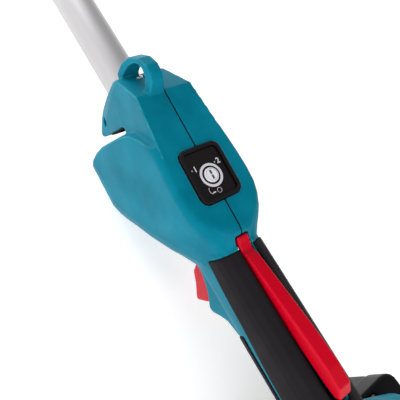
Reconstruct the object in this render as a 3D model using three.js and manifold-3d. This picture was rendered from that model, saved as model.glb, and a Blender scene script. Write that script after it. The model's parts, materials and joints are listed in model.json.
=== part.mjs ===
// Telescoping pole saw: battery base, rear handle, two-piece pole and saw head.
// Millimetres. Modelled with the pole axis on X (forward to the bar), +Y left, +Z up,
// then moved so the origin is the centre of the underside of the whole part.
import * as THREE from 'three';
import { mergeVertices } from 'three/addons/utils/BufferGeometryUtils.js';
import Module from 'manifold-3d';

const wasm = await Module();
wasm.setup();

// Driving dimensions
const GAP = 0.3;              // clearance between pieces that touch
const PARTING = 0.15;         // half the gap between the two housing halves
const WALL = 3.2;             // moulded shell thickness
const OUTER_POLE_R = 15;      // outer tube radius
const OUTER_POLE_BORE = 13.2; // bore radius of the outer tube
const INNER_POLE_R = 12.6;    // inner tube radius
const INNER_POLE_BORE = 11;   // bore radius of the inner tube
const OUTER_POLE_X = [-58, 905];
const INNER_POLE_X = [-20, 1205];
const TOP_SLOPE = 0.09;       // rise of the top face per mm forward
const PANEL_X = -98;          // centre of the control panel
const PANEL_Z = 38.45;        // height of the top face at the panel centre
const BUTTON_X = -100;        // power button centre
const GRIP_HALF_WIDTH = 19.5;
const GRIP_X = [-296, -132];
const BASE_X = [-402, -286];  // battery base
const BASE_HALF_WIDTH = 79;
const PACK_Y = 39.5;          // battery centre line, left and right
const PACK_X = [-399, -288.5];
const GROUND_Z = -88;         // the level the whole saw rests on
const BAR_Y = -27;            // guide bar mid plane
const AXLE = [1262, -14];     // motor and sprocket axis, X and Z
const NOSE = [1546, -14];     // nose sprocket axis, X and Z
const NOSE_R = 12.5;          // radius of the bar's nose
const BAR_HALF = 2.1;         // half thickness of the guide bar
const BAR_STUD = [1306, -14]; // stud that clamps the bar, X and Z
const FILLER = [1240, -55.5]; // oil filler axis, X and Z
const SPROCKET_TEETH = 6;
const CUTTERS = 22;           // cutting links round the chain

// ---------------------------------------------------------------- geometry tools

// A closed three.js geometry as a solid for joining and cutting.
function solid(geometry) {
  const plain = new THREE.BufferGeometry();
  plain.setAttribute('position', geometry.attributes.position.clone());
  const count = geometry.attributes.position.count;
  plain.setIndex(geometry.index ? Array.from(geometry.index.array) : [...Array(count).keys()]);
  const merged = mergeVertices(plain, 1e-4);
  const tris = [];
  const order = merged.index.array;
  for (let i = 0; i < order.length; i += 3) {
    const [a, b, c] = [order[i], order[i + 1], order[i + 2]];
    if (a !== b && b !== c && a !== c) tris.push(a, b, c);
  }
  return new wasm.Manifold(new wasm.Mesh({
    numProp: 3,
    vertProperties: new Float32Array(merged.attributes.position.array),
    triVerts: new Uint32Array(tris),
  }));
}

const join = (...parts) => parts.reduce((a, b) => a.add(b));
const cut = (body, ...tools) => tools.reduce((a, b) => a.subtract(b), body);
const mirrored = (pairs) => [...pairs, ...pairs.map(([a, b]) => [-a, b]).reverse()];

// Axis-aligned box from its limits.
function box(x0, x1, y0, y1, z0, z1) {
  const geometry = new THREE.BoxGeometry(x1 - x0, y1 - y0, z1 - z0);
  geometry.translate((x0 + x1) / 2, (y0 + y1) / 2, (z0 + z1) / 2);
  return solid(geometry);
}

// Turns a geometry built along Z so that it runs along the named axis.
function alongAxis(geometry, axis) {
  const frames = {
    x: [[0, 1, 0], [0, 0, 1], [1, 0, 0]],
    y: [[0, 0, 1], [1, 0, 0], [0, 1, 0]],
    z: [[1, 0, 0], [0, 1, 0], [0, 0, 1]],
  };
  const [u, v, w] = frames[axis].map((d) => new THREE.Vector3(...d));
  geometry.applyMatrix4(new THREE.Matrix4().makeBasis(u, v, w));
  return geometry;
}

// Prism of an outline along an axis. Outlines: x -> (y,z), y -> (x,z), z -> (x,y).
function prismGeometry(axis, outline, from, to, bevel = 0, bevelDepth = bevel, rounds = 2) {
  const flat = outline.map(([a, b]) => (axis === 'y' ? new THREE.Vector2(b, a) : new THREE.Vector2(a, b)));
  const geometry = new THREE.ExtrudeGeometry(new THREE.Shape(flat), {
    depth: to - from - 2 * bevelDepth,
    bevelEnabled: bevel > 0,
    bevelSize: bevel,
    bevelOffset: -bevel,
    bevelThickness: bevelDepth,
    bevelSegments: rounds,
  });
  geometry.translate(0, 0, from + bevelDepth);
  return alongAxis(geometry, axis);
}

const prism = (...sizes) => solid(prismGeometry(...sizes));

// Narrows a geometry across Y along X or Z: full width up to one place, a share of it from another on.
function narrowed(geometry, axis, [from, to], share, middle = 0) {
  const { position } = geometry.attributes;
  const component = { x: 0, z: 2 }[axis];
  for (let i = 0; i < position.count; i += 1) {
    const along = THREE.MathUtils.clamp((position.getComponent(i, component) - from) / (to - from), 0, 1);
    position.setY(i, middle + (position.getY(i) - middle) * THREE.MathUtils.lerp(1, share, along));
  }
  return geometry;
}

// Solid of revolution: profile of (radius, position along the axis), from axis to axis.
function turned(axis, profile, centre = [0, 0], segments = 24) {
  const points = profile.map(([r, h]) => new THREE.Vector2(r, h));
  const geometry = new THREE.LatheGeometry(points, segments);
  geometry.rotateX(Math.PI / 2);
  alongAxis(geometry, axis);
  const shift = { x: [0, ...centre], y: [centre[0], 0, centre[1]], z: [...centre, 0] }[axis];
  geometry.translate(...shift);
  return outward(geometry);
}

// Lathe profiles may run either way; keep the result facing out.
function outward(geometry) {
  const made = solid(geometry);
  if (made.volume() > 0) return made;
  const index = geometry.index.array;
  for (let i = 0; i < index.length; i += 3) [index[i], index[i + 1]] = [index[i + 1], index[i]];
  return solid(geometry);
}

// Round bar, optionally with chamfered ends.
function rod(axis, radius, from, to, centre = [0, 0], segments = 24, chamfer = 0) {
  const ends = chamfer
    ? [[radius - chamfer, from], [radius, from + chamfer], [radius, to - chamfer], [radius - chamfer, to]]
    : [[radius, from], [radius, to]];
  return turned(axis, [[0, from], ...ends, [0, to]], centre, segments);
}

// Round tube.
function tube(axis, outer, inner, from, to, centre = [0, 0], segments = 24) {
  const bore = rod(axis, inner, from - 1, to + 1, centre, segments);
  return cut(rod(axis, outer, from, to, centre, segments), bore);
}

// Closed ring of points: a polygon with every corner rounded.
function roundedRing(corners, radius, steps) {
  const ring = [];
  corners.forEach((corner, i) => {
    const here = new THREE.Vector2(...corner);
    const before = new THREE.Vector2(...corners[(i + corners.length - 1) % corners.length]);
    const after = new THREE.Vector2(...corners[(i + 1) % corners.length]);
    const back = Math.min(radius, 0.45 * here.distanceTo(before), 0.45 * here.distanceTo(after));
    const start = here.clone().lerp(before, back / here.distanceTo(before));
    const end = here.clone().lerp(after, back / here.distanceTo(after));
    for (let k = 0; k <= steps; k += 1) {
      const t = k / steps;
      const a = start.clone().lerp(here, t);
      const b = here.clone().lerp(end, t);
      const p = a.lerp(b, t);
      ring.push([p.x, p.y]);
    }
  });
  return ring;
}

// Solid through rings of (y,z) points at rising X, closed by flat ends.
function loft(stations) {
  const size = stations[0].ring.length;
  const points = [];
  const faces = [];
  stations.forEach(({ x, ring }) => ring.forEach(([y, z]) => points.push(x, y, z)));
  for (let i = 0; i + 1 < stations.length; i += 1) {
    for (let j = 0; j < size; j += 1) {
      const a = i * size + j;
      const b = i * size + ((j + 1) % size);
      faces.push(a, b, b + size, a, b + size, a + size);
    }
  }
  [0, stations.length - 1].forEach((end) => {
    const { x, ring } = stations[end];
    const centre = points.length / 3;
    const sum = ring.reduce(([y, z], p) => [y + p[0], z + p[1]], [0, 0]);
    points.push(x, sum[0] / size, sum[1] / size);
    for (let j = 0; j < size; j += 1) {
      const a = end * size + j;
      const b = end * size + ((j + 1) % size);
      faces.push(centre, ...(end === 0 ? [b, a] : [a, b]));
    }
  });
  const geometry = new THREE.BufferGeometry();
  geometry.setAttribute('position', new THREE.Float32BufferAttribute(points, 3));
  geometry.setIndex(faces);
  return solid(geometry);
}

// Moves a polygon's sides inwards by a distance (outwards when negative).
function inset(outline, distance) {
  const points = outline.map(([a, b]) => new THREE.Vector2(a, b));
  const turn = THREE.ShapeUtils.area(points) > 0 ? 1 : -1;
  return points.map((p, i) => {
    const d1 = p.clone().sub(points[(i + points.length - 1) % points.length]).normalize();
    const d2 = points[(i + 1) % points.length].clone().sub(p).normalize();
    const n1 = new THREE.Vector2(-d1.y, d1.x).multiplyScalar(turn);
    const n2 = new THREE.Vector2(-d2.y, d2.x).multiplyScalar(turn);
    const mitre = n1.add(n2).normalize();
    const scale = distance / Math.max(0.35, mitre.dot(n2));
    return [p.x + mitre.x * scale, p.y + mitre.y * scale];
  });
}

// Tilts a level solid to the slope of the housing top, about the panel centre.
function onTopFace(body) {
  return body.translate([-PANEL_X, 0, 0]).rotate([0, -THREE.MathUtils.radToDeg(Math.atan(TOP_SLOPE)), 0])
    .translate([PANEL_X, 0, PANEL_Z]);
}

// Capsule-ended outline of a slot in its own plane.
function slotOutline(u0, u1, v, radius, steps = 8) {
  const outline = [];
  for (let k = 0; k <= steps; k += 1) {
    const a = -Math.PI / 2 + (Math.PI * k) / steps;
    outline.push([u1 + radius * Math.cos(a), v + radius * Math.sin(a)]);
  }
  for (let k = 0; k <= steps; k += 1) {
    const a = Math.PI / 2 + (Math.PI * k) / steps;
    outline.push([u0 + radius * Math.cos(a), v + radius * Math.sin(a)]);
  }
  return outline;
}

const rectangle = (a0, a1, b0, b1) => [[a0, b0], [a1, b0], [a1, b1], [a0, b1]];
const roundedRectangle = (a0, a1, b0, b1, radius, steps = 4) =>
  roundedRing(rectangle(a0, a1, b0, b1), radius, steps);

// ---------------------------------------------------------------- finished pieces

const saw = new THREE.Group();
saw.name = 'telescoping_pole_saw';

const FINISHES = {
  teal: [0x0b7f96, 0.5, 0],
  black: [0x1b1b1d, 0.55, 0],
  rubber: [0x161617, 0.85, 0],
  red: [0xc80a24, 0.45, 0],
  gloss: [0x0d0d10, 0.15, 0],
  white: [0xe8e8e8, 0.4, 0],
  silver: [0xb9bbbd, 0.35, 0.9],
  steel: [0x8d9093, 0.35, 0.95],
  dark_steel: [0x4a4c50, 0.45, 0.9],
  copper: [0xb06a3a, 0.4, 0.9],
  brass: [0xb59a52, 0.35, 0.95],
  board: [0x1f5a3a, 0.6, 0],
  tank: [0xcfcbb4, 0.3, 0],
  foam: [0x202022, 0.95, 0],
  lamp: [0x3fbf5a, 0.25, 0],
};

// Adds one closed body to the saw as a named mesh.
function piece(name, finish, body) {
  const { vertProperties, triVerts } = body.getMesh();
  const geometry = new THREE.BufferGeometry();
  geometry.setAttribute('position', new THREE.Float32BufferAttribute(vertProperties, 3));
  geometry.setIndex(Array.from(triVerts));
  geometry.computeVertexNormals();
  const [color, roughness, metalness] = FINISHES[finish];
  const mesh = new THREE.Mesh(geometry, new THREE.MeshStandardMaterial({ color, roughness, metalness }));
  mesh.name = name;
  saw.add(mesh);
}

// ---------------------------------------------------------------- rear handle shape

// Cross-sections of the main body: x, half width and height of the top edge, shoulder,
// widest line and bottom edge.
const BODY_SECTIONS = [
  [-150, 4.5, 26.6, 14.5, 24.2, 19.6, -2, 11, -28.5],
  [-145.5, 6, 29.8, 16.8, 26.8, 21, -3, 12, -29],
  [-141.5, 8.5, 33.6, 19.2, 28.6, 22.6, -5, 13, -30],
  [-138, 12.6, 34.8, 21.6, 29.6, 24.5, -7, 14, -31],
  [-131.5, 19.9, 35.4, 25.8, 30.8, 27.2, -11, 16, -33],
  [-123.5, 25.3, 36.1, 29.1, 32.0, 29.9, -17, 18, -38.5],
  [-115, 28.0, 36.9, 30.9, 33.2, 31.6, -24, 19, -44.5],
  [-104, 28.6, 37.9, 31.3, 34.3, 32.9, -34.5, 20, -53],
  [-92, 28.0, 39.0, 30.9, 35.4, 33.9, -44, 20.5, -61],
  [-80, 26.8, 40.1, 30.2, 36.3, 34.7, -55, 21, -70.5],
  [-70, 25.9, 41.0, 29.6, 36.6, 35.2, -63, 21, -77.5],
  [-60, 25.0, 41.9, 29.4, 36.0, 35.4, -68, 21, -81],
  [-5, 22.5, 47.0, 29.4, 36.0, 35.0, -64, 21, -81],
];

function bodyLoft(wall) {
  return loft(BODY_SECTIONS.map(([x, top, zTop, shoulder, zShoulder, side, zSide, foot, zFoot]) => ({
    x,
    ring: roundedRing([
      [side - wall, zSide],
      [shoulder - wall, zShoulder - wall * 0.6],
      [Math.max(1.5, top - wall * 0.7), zTop - wall],
      [-Math.max(1.5, top - wall * 0.7), zTop - wall],
      [-(shoulder - wall), zShoulder - wall * 0.6],
      [-(side - wall), zSide],
      [-(foot - wall * 0.6), zFoot + wall],
      [foot - wall * 0.6, zFoot + wall],
    ], 9, 2),
  })));
}

// Side view of the belly below and behind the neck.
const BELLY_SIDE = [
  [-170, -100], [-170, 60], [-84, 60], [-72, 43], [-66, 37.5], [-55, 29.5], [-45, 21], [-40, 13],
  [-35, 3], [-22, -29], [-18.5, -42], [-17, -53], [-17.8, -64], [-22.5, -74], [-33, -81], [-58, -82],
  [-66, -100],
];

// Side view of the neck, the ramp in front of the top face and the jaw.
const NECK_SIDE = [
  [-78, 40.28], [-32.5, 44.4], [-5, 28], [-2, 22], [2, 0], [3.6, -18], [2, -29], [-4.5, -40.5], [-8.5, -41.5],
  [-11.5, -37], [-15.5, -27.5], [-28.5, 3], [-31.5, 5.5], [-36, 4], [-78, 0],
];
const NECK_PLAN = [[-78, 26.9], [-33, 22.6], [-6, 20.8], [4, 17.8]];

const BODY_SPREAD = 37;

// Plain body of the handle without its hollows; wall shrinks it to the inner surface.
function bodyShape(wall) {
  const side = wall ? inset(BELLY_SIDE, wall) : BELLY_SIDE;
  const spread = BODY_SPREAD - wall;
  return bodyLoft(wall).intersect(prism('y', side, -spread, spread, 8, 12, 3));
}

function neckShape() {
  const plan = [...NECK_PLAN, ...NECK_PLAN.map(([x, y]) => [x, -y]).reverse()];
  return prism('y', NECK_SIDE, -30, 30).intersect(prism('z', plan, -60, 60));
}

// Cross-section of the in-line grip, grown or shrunk by an amount.
function gripLoft(grow, x0 = GRIP_X[0], x1 = GRIP_X[1]) {
  const corners = mirrored([[GRIP_HALF_WIDTH - 2.5, -18], [GRIP_HALF_WIDTH, 2], [18.8, 20.4], [9, 27.8]]);
  corners.push([-9, -29.5], [9, -29.5]);
  const ring = roundedRing(inset(corners, -grow), 8, 2);
  return loft([{ x: x0, ring }, { x: x1, ring }]);
}

// Cheeks beside the trigger that run back into the finger stop, in side view.
const FINGER_STOP = [
  [-139, -14], [-139, -27], [-150.4, -28.6], [-158.2, -32.4], [-165.6, -38], [-174.8, -47.6], [-180, -46.4],
  [-185.6, -37.4], [-191, -31], [-206, -26], [-206, -14],
];

// Hanger loop on the left half, above the ramp.
const LOOP_OUTER = [
  [-5, 20], [2.2, 25], [1.6, 36], [-1.6, 45.4], [-9.8, 53], [-18.5, 56.2], [-25, 55.4], [-29.4, 52.4],
  [-34.8, 43], [-34.8, 36],
];
const LOOP_HOLE = [
  [-4.2, 24], [-4, 34], [-5.2, 41], [-8.6, 47.4], [-13, 50.8], [-18, 51.6], [-22.6, 49.8], [-26.4, 45.4],
  [-28.8, 40], [-28.8, 30],
];
const LOOP_Y = [PARTING, 14.8];
const LOOP_LEAN_Z = [32, 57];
const LOOP_TOP_SHARE = 0.7;   // width of the loop's top as a share of its foot

function hangerLoop() {
  const ring = prismGeometry('y', LOOP_OUTER, ...LOOP_Y, 1.4);
  return cut(solid(narrowed(ring, 'z', LOOP_LEAN_Z, LOOP_TOP_SHARE, PARTING)), prism('y', LOOP_HOLE, -5, 20));
}

// Areas of the grip covered by soft pads, seen from the side.
const SIDE_PAD = [
  [-154.5, 40], [-152.2, 28], [-150.2, 19], [-147.4, 6], [-169, 2.8], [-190, 0.6], [-236, -5.6], [-280, -7.5],
  [-280, 40],
];
const FINGER_PAD = [[-203, -10.5], [-280, -12.5], [-280, -45], [-203, -45]];
const PAD_RISE = 0.9;         // how far the pads stand out from the grip
const PAD_DEPTH = 1.4;        // how deep they are let in
const LEVER_CHANNEL = { x: [-264, -143.3], y: 6, z: 16.6 };
const TRIGGER_OPENING = { x: [-176.4, -139.5], y: 10 };

function padBand(outline, grow, y0, y1) {
  const outer = gripLoft(PAD_RISE + grow);
  const inner = gripLoft(-PAD_DEPTH - grow);
  return cut(outer, inner).intersect(prism('y', inset(outline, -grow), y0 - grow, y1 + grow));
}

const leverChannel = (grow = 0) => box(
  LEVER_CHANNEL.x[0] - grow, LEVER_CHANNEL.x[1] + grow,
  -LEVER_CHANNEL.y - grow, LEVER_CHANNEL.y + grow,
  LEVER_CHANNEL.z, 60,
);

// Everything both housing halves are cut from.
function handleShape() {
  return join(
    bodyShape(0),
    neckShape(),
    gripLoft(0),
    prism('y', FINGER_STOP, -13.5, 13.5, 2.4, 3, 2),
    hangerLoop(),
  );
}

// Bosses inside the shell that carry the screws: x, z and the side the screw goes in from.
const BOSSES = [[-5.5, -24.5, 1], [-52, -66, -1], [-196, -14, -1], [-276, 6, -1]];
const BOSS_R = 5.6;
const SCREW_R = 1.9;
const SCREW_HEAD_R = 3.6;
const SCREW_SEAT_Y = 8;       // depth of the screw head's seat from the parting plane

// Round bar across the handle from one side, with its start and end counted towards that side.
function across(side, radius, from, to, centre, segments, chamfer) {
  const ends = [side * from, side * to].sort((a, b) => a - b);
  return rod('y', radius, ...ends, centre, segments, chamfer);
}

function handleHollow() {
  const cavity = join(
    bodyShape(WALL).intersect(box(-170, -40, -60, 60, -100, 60)),
    gripLoft(-WALL - 1.2, -292, -120),
  );
  const neckKeep = neckShape().intersect(box(-64, 10, -60, 60, -60, 60));
  return cut(cavity, neckKeep);
}

// Panel recess, lever, trigger and pole openings.
function handleOpenings() {
  return join(
    onTopFace(prism('z', panelOutline(GAP), -6, 12)),
    leverChannel(),
    box(TRIGGER_OPENING.x[0], TRIGGER_OPENING.x[1], -TRIGGER_OPENING.y, TRIGGER_OPENING.y, -70, -16),
    rod('x', OUTER_POLE_R + GAP, -58.5, 20, [0, 0], 36),
    padBand(SIDE_PAD, GAP, 0, 40),
    padBand(SIDE_PAD, GAP, -40, 0),
    padBand(FINGER_PAD, GAP, -40, 40),
  );
}

function screwHoles() {
  return join(...BOSSES.map(([x, z, side]) => join(
    across(side, SCREW_R + 0.25, -14, 60, [x, z], 16),
    across(side, SCREW_HEAD_R + 0.5, SCREW_SEAT_Y, 60, [x, z], 20),
  )));
}

function housingHalf(sign) {
  const near = sign > 0 ? [PARTING, 80] : [-80, -PARTING];
  const bosses = join(...BOSSES.map(([x, z]) => rod('y', BOSS_R, -40, 40, [x, z], 16)));
  const shell = join(cut(handleShape(), handleHollow()), bosses.intersect(handleShape()));
  const half = cut(shell, handleOpenings(), screwHoles());
  return half.intersect(box(-300, 20, near[0], near[1], -100, 80));
}

// ---------------------------------------------------------------- rear handle pieces

function addHousing() {
  piece('housing_left', 'teal', housingHalf(1));
  piece('housing_right', 'teal', housingHalf(-1));
  BOSSES.forEach(([x, z, side], i) => {
    const seat = SCREW_SEAT_Y + GAP;
    const head = across(side, SCREW_HEAD_R, seat, seat + 2.4, [x, z], 16, 0.4);
    const shank = across(side, SCREW_R, -13, seat + 1, [x, z], 12);
    const socket = across(side, 1.5, seat + 1.1, seat + 4, [x, z], 6);
    piece(`housing_screw_${i + 1}`, 'dark_steel', cut(join(head, shank), socket));
  });
}

function hexagon(u, v, radius) {
  return Array.from({ length: 6 }, (_, k) => [
    u + radius * Math.cos((k * Math.PI) / 3),
    v + radius * Math.sin((k * Math.PI) / 3),
  ]);
}

// Control panel: raised frame, glossy plate, button, speed lamps and the board below.
const PANEL = { x: [-118, -78.2], y: 16.7, corner: 6.4, rim: 2.8, rise: 1.3 };
const LAMPS = [[-92.6, 11.8], [-92.6, -7.2]];

// Outline of the panel grown by a distance.
function panelOutline(grow) {
  const { x, y, corner } = PANEL;
  return roundedRectangle(x[0] - grow, x[1] + grow, -y - grow, y + grow, corner + grow);
}

function addPanel() {
  const { rim, rise } = PANEL;
  const recess = prism('z', panelOutline(-rim), -3.2, 5);
  const window = prism('z', roundedRectangle(-112, -84, -13.3, 13.3, 3), -8, 5);
  piece('panel_frame', 'black', onTopFace(cut(prism('z', panelOutline(0), -5, rise, 0.9), recess, window)));
  const buttonHole = rod('z', 5.6, -8, 5, [BUTTON_X, 0], 32);
  const lampHoles = LAMPS.map((spot) => rod('z', 0.8, -8, 5, spot, 12));
  const plate = prism('z', panelOutline(-rim - GAP), -2.9, -0.4);
  piece('panel_plate', 'gloss', onTopFace(cut(plate, buttonHole, ...lampHoles)));
  const cap = rod('z', 5.3, -2.2, 0.6, [BUTTON_X, 0], 32, 0.5);
  const flange = rod('z', 6.6, -4.4, -3.2, [BUTTON_X, 0], 24);
  const stem = rod('z', 3, -3.4, -2, [BUTTON_X, 0], 16);
  piece('power_button', 'white', onTopFace(join(cap, flange, stem)));
  LAMPS.forEach((spot, i) => {
    const lens = join(rod('z', 0.55, -5.2, -0.3, spot, 12), rod('z', 1.2, -6.2, -5.1, spot, 12));
    piece(`speed_lamp_${i + 1}`, 'lamp', onTopFace(lens));
  });
  const board = prism('z', rectangle(-116, -80.5, -14.5, 14.5), -8.3, -6.7);
  const touchSwitch = join(box(-103, -97, -3, 3, -6.8, -6), rod('z', 1.7, -6.2, -5.7, [BUTTON_X, 0], 12));
  piece('panel_board', 'board', onTopFace(join(board, touchSwitch)));
}

// Lock-off lever along the top of the grip, pivoting at its front end.
const LOCK_PIN = [-150, 24.5];
const LOCK_HALF = 5.5;
const LOCK_TIP_SHARE = 0.86;  // width of the tip as a share of the full width
const LOCK_TAPER_X = [-215, -158];
const LOCK_SIDE = [
  [-144.6, 20.5], [-144.4, 27], [-143.9, 30.3], [-145.4, 30.8], [-149, 28.9], [-154.5, 26.9], [-160, 29.4],
  [-168, 30.8], [-182, 32.8], [-197, 35.1], [-218, 38.2], [-240, 40.4], [-253, 39.2], [-259, 34.6],
  [-258, 30.2], [-250, 28.6], [-210, 24.5], [-175, 20.6], [-155, 19.2],
];

function addLockOffLever() {
  const outline = prismGeometry('y', LOCK_SIDE, -LOCK_HALF, LOCK_HALF, 1.2);
  const blade = solid(narrowed(outline, 'x', LOCK_TAPER_X, LOCK_TIP_SHARE));
  const pinHole = rod('y', 2.2, -20, 20, LOCK_PIN, 16);
  piece('lock_off_lever', 'red', cut(blade, pinHole));
  piece('lock_off_pin', 'steel', rod('y', 1.9, -5.7, 5.7, LOCK_PIN, 16));
}

// Trigger under the grip, pivoting at its front top corner.
const TRIGGER_PIN = [-146, -21];
const TRIGGER_HALF = 9.4;
const TRIGGER_SIDE = [
  [-140.6, -19], [-140.8, -38], [-143.5, -47], [-151.5, -54.5], [-162.5, -68.5], [-165.5, -68.5], [-168, -62],
  [-171, -54], [-170.5, -36], [-169, -17.5], [-160, -13.5], [-146, -14],
];

function addTrigger() {
  const blade = prism('y', TRIGGER_SIDE, -TRIGGER_HALF, TRIGGER_HALF, 1.8);
  piece('switch_trigger', 'red', cut(blade, rod('y', 2.2, -20, 20, TRIGGER_PIN, 16)));
  piece('trigger_pin', 'steel', rod('y', 1.9, -9.8, 9.8, TRIGGER_PIN, 16));
}

// Wire coil with its axis along Y, one continuous round wire.
function coil(centre, radius, wire, y0, y1, turns) {
  const points = Array.from({ length: turns * 8 + 1 }, (_, k) => {
    const a = (k / 8) * 2 * Math.PI;
    return new THREE.Vector3(centre[0] + radius * Math.cos(a), y0 + ((y1 - y0) * k) / (turns * 8),
      centre[1] + radius * Math.sin(a));
  });
  const path = new THREE.CatmullRomCurve3(points);
  const section = new THREE.Shape(hexagon(0, 0, wire).map(([a, b]) => new THREE.Vector2(a, b)));
  const options = { steps: turns * 8, bevelEnabled: false, extrudePath: path };
  return solid(new THREE.ExtrudeGeometry(section, options));
}

// Switch, its motor controller and the lever springs inside the handle.
function addHandleInternals() {
  const plunger = rod('z', 2.4, -7.4, -4.5, [-157, 0], 12);
  piece('main_switch', 'black', join(box(-172, -142, -7.5, 7.5, -5, 12), plunger));
  const ribs = Array.from({ length: 5 }, (_, k) => box(-98 + k * 8, -95 + k * 8, -17, 17, -36.5, -30));
  piece('controller', 'silver', join(box(-100, -58, -17, 17, -48, -36), ...ribs));
  piece('lock_off_spring', 'steel', coil([-206, 14.2], 2.6, 0.45, -4, 4, 3));
  piece('trigger_spring', 'steel', coil([-180, -20.4], 2.8, 0.45, -4, 4, 3));
}

function addGripPads() {
  const trim = leverChannel(0.6);
  piece('grip_pad_left', 'rubber', cut(padBand(SIDE_PAD, 0, 0.6, 40), trim));
  piece('grip_pad_right', 'rubber', cut(padBand(SIDE_PAD, 0, -40, -0.6), trim));
  piece('grip_pad_finger', 'rubber', padBand(FINGER_PAD, 0, -40, 40));
}

// ---------------------------------------------------------------- battery base

const RAIL = { neck: 22, flange: 27, low: -35.6, mid: -30.5, high: -25.5 };

function railShape(centreY, grow, x0, x1) {
  const y = centreY;
  return join(
    box(x0, x1, y - RAIL.neck - grow, y + RAIL.neck + grow, RAIL.low - 1.4, RAIL.mid + grow + 0.2),
    box(x0, x1, y - RAIL.flange - grow, y + RAIL.flange + grow, RAIL.mid - grow, RAIL.high + grow),
  );
}

// Rail plate the packs slide onto, and the cover over the wiring.
function addBatteryBase() {
  const w = BASE_HALF_WIDTH;
  const plan = roundedRectangle(BASE_X[0], BASE_X[1], -w, w, 12, 4);
  const plate = prism('z', plan, RAIL.low, -14, 1, 1, 1);
  const rails = [1, -1].map((s) => railShape(s * PACK_Y, 0.4, BASE_X[0] - 5, PACK_X[1] + 0.4));
  const wells = [1, -1].map((s) => box(-327, -291, s * PACK_Y - 14, s * PACK_Y + 14, -26, -12));
  const grip = gripLoft(GAP, -298, -280);
  piece('battery_rail_plate', 'black', cut(plate, ...rails, ...wells, grip));

  const crown = (grow) => loft([
    { x: BASE_X[0] + 2 - grow, half: 70, top: 6 },
    { x: BASE_X[0] + 26, half: 76, top: 15 },
    { x: BASE_X[1] - 34, half: 74, top: 20 },
    { x: BASE_X[1] - 8, half: 58, top: 26 },
    { x: BASE_X[1] + grow, half: 40, top: 27 },
  ].map(({ x, half, top }) => ({
    x,
    ring: roundedRing([
      [half + grow, -13.7 - grow], [half + grow, top - 16], [24, top + grow],
      [-24, top + grow], [-half - grow, top - 16], [-half - grow, -13.7 - grow],
    ], 10, 2),
  })));
  const lower = box(-420, -270, -90, 90, -60, -13.7);
  const cableWay = box(-296, -280, -15, 15, -12, 16);
  piece('battery_base_cover', 'teal', cut(crown(0), crown(-WALL), grip, lower, cableWay));
}

// One battery pack, its release latch and the terminals above it; side is +1 left or -1 right.
const CONTACTS = [-13, -5, 5, 13];

function addBattery(side, label) {
  const y = side * PACK_Y;
  const outline = roundedRectangle(y - 37, y + 37, GROUND_Z, RAIL.low - GAP - 0.4, 7, 3);
  const body = prism('x', outline, PACK_X[0], PACK_X[1] - 0.5, 2, 2, 1);
  const rail = railShape(y, 0, PACK_X[0] + 10, PACK_X[1] - 0.5);
  const bridge = box(PACK_X[0] + 10, PACK_X[1] - 0.5, y - RAIL.neck, y + RAIL.neck, -40, RAIL.mid);
  const contacts = CONTACTS.map((d) => box(-316, -280, y + d - 1.6, y + d + 1.6, -33.5, -20));
  const pocket = box(-393.2, -382.8, y - 7, y + 7, -52, -20);
  const thumb = box(-403, -392, y - 9, y + 9, -51, -39);
  const grooves = [1, -1].map((s) => box(-380, -310, y + s * 37 - 1.2, y + s * 37 + 1.2, -72, -68));
  const pack = join(body, rail, bridge);
  piece(`battery_${label}`, 'black', cut(pack, ...contacts, pocket, thumb, ...grooves));
  const latch = join(
    box(-392.6, -383.4, y - 6.4, y + 6.4, -45.5, -37.5),
    prism('y', [[-392, -38], [-384, -38], [-384, -36.6], [-386, -36], [-392, -37.2]], y - 5.6, y + 5.6),
    box(-398.3, -391, y - 6.4, y + 6.4, -45.5, -41),
  );
  piece(`battery_latch_${label}`, 'red', latch);
  const foot = box(-326, -291.6, y - 13.5, y + 13.5, -24.9, -15);
  const blades = CONTACTS.map((d) => box(-312, -291.6, y + d - 0.6, y + d + 0.6, -32.5, -24));
  piece(`terminal_block_${label}`, 'brass', join(foot, ...blades));
}

// ---------------------------------------------------------------- poles

function addPoles() {
  piece('outer_pole', 'silver', tube('x', OUTER_POLE_R, OUTER_POLE_BORE, ...OUTER_POLE_X, [0, 0], 36));
  piece('inner_pole', 'silver', tube('x', INNER_POLE_R, INNER_POLE_BORE, ...INNER_POLE_X, [0, 0], 36));
  const plug = turned('x', [
    [0, -26], [INNER_POLE_R, -26], [INNER_POLE_R, -20.3], [9, -20.3], [9, -10], [INNER_POLE_BORE - GAP, -10],
    [INNER_POLE_BORE - GAP, 8], [0, 8],
  ]);
  piece('inner_pole_plug', 'black', cut(plug, rod('x', 5, -30, 12, [0, 0], 16)));
}

// Foam sleeve for the forward hand, with raised end rings.
const FRONT_GRIP_X = [430, 650];

function addFrontGrip() {
  const [start, end] = FRONT_GRIP_X;
  const [rim, lip, middle] = [OUTER_POLE_R + 4, OUTER_POLE_R + 6.5, OUTER_POLE_R + 4.6];
  const sleeve = turned('x', [
    [0, start], [rim, start], [lip, start + 4], [lip, start + 12], [middle, start + 16],
    [middle, end - 16], [lip, end - 12], [lip, end - 4], [rim, end], [0, end],
  ], [0, 0], 28);
  const bore = rod('x', OUTER_POLE_R + GAP, start - 5, end + 5, [0, 0], 28);
  piece('front_grip_sleeve', 'foam', cut(sleeve, bore));
}

// Split clamp collar at the front of the outer pole, with its cam lever.
const CLAMP_PIN = [872, -30];
const CLAMP_BOLT_R = 2.5;
const CLAMP_LEVER_SIDE = [
  [877, -23.5], [880, -30], [876, -37], [862, -40], [800, -35], [798, -30], [803, -27.5], [858, -28.5],
  [867, -23.5],
];

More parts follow.
